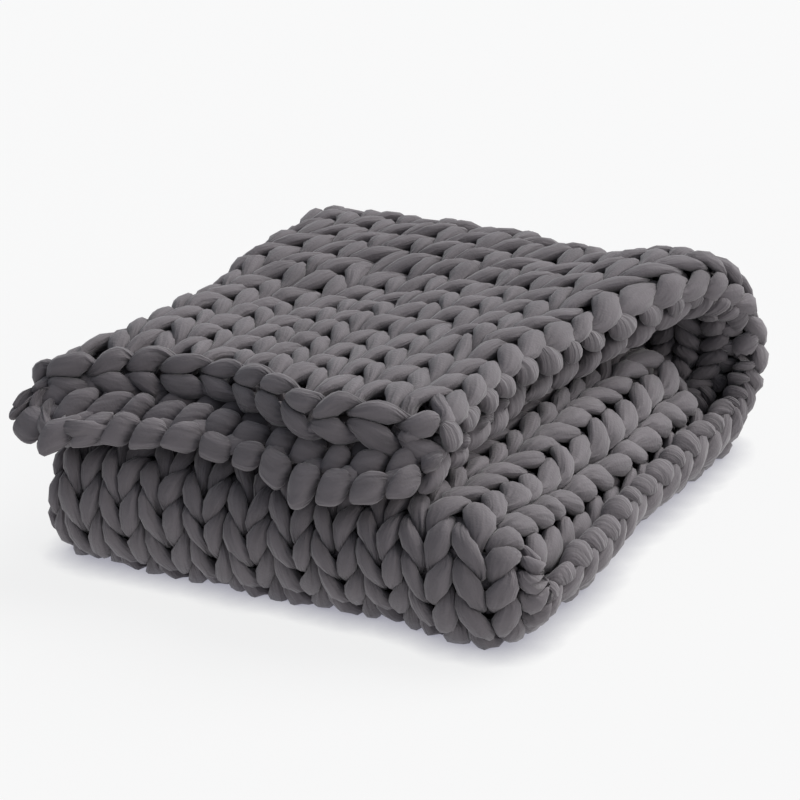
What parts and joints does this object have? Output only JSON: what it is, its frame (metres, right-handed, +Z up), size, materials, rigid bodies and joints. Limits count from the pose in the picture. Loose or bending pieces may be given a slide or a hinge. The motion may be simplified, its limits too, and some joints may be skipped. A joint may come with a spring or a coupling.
{
  "type": "folded knitted weighted blanket",
  "caption": "Chunky knitted blanket, doubled along a left side fold and wrapped in three like a letter, with an open back loop and a draped lip.",
  "frame": {"origin": "on the surface it rests on, under the middle of the bounding box", "axes": "+Z up, +X to the right along the front fold, -Y towards the front fold and the lip"},
  "size_m": [0.5598, 0.6458, 0.2191],
  "materials": {
    "yarn": "matt knitted jersey tube yarn, dark warm grey"
  },
  "bodies": {
    "root": {"knitted_blanket": "yarn"}
  },
  "joints": []
}
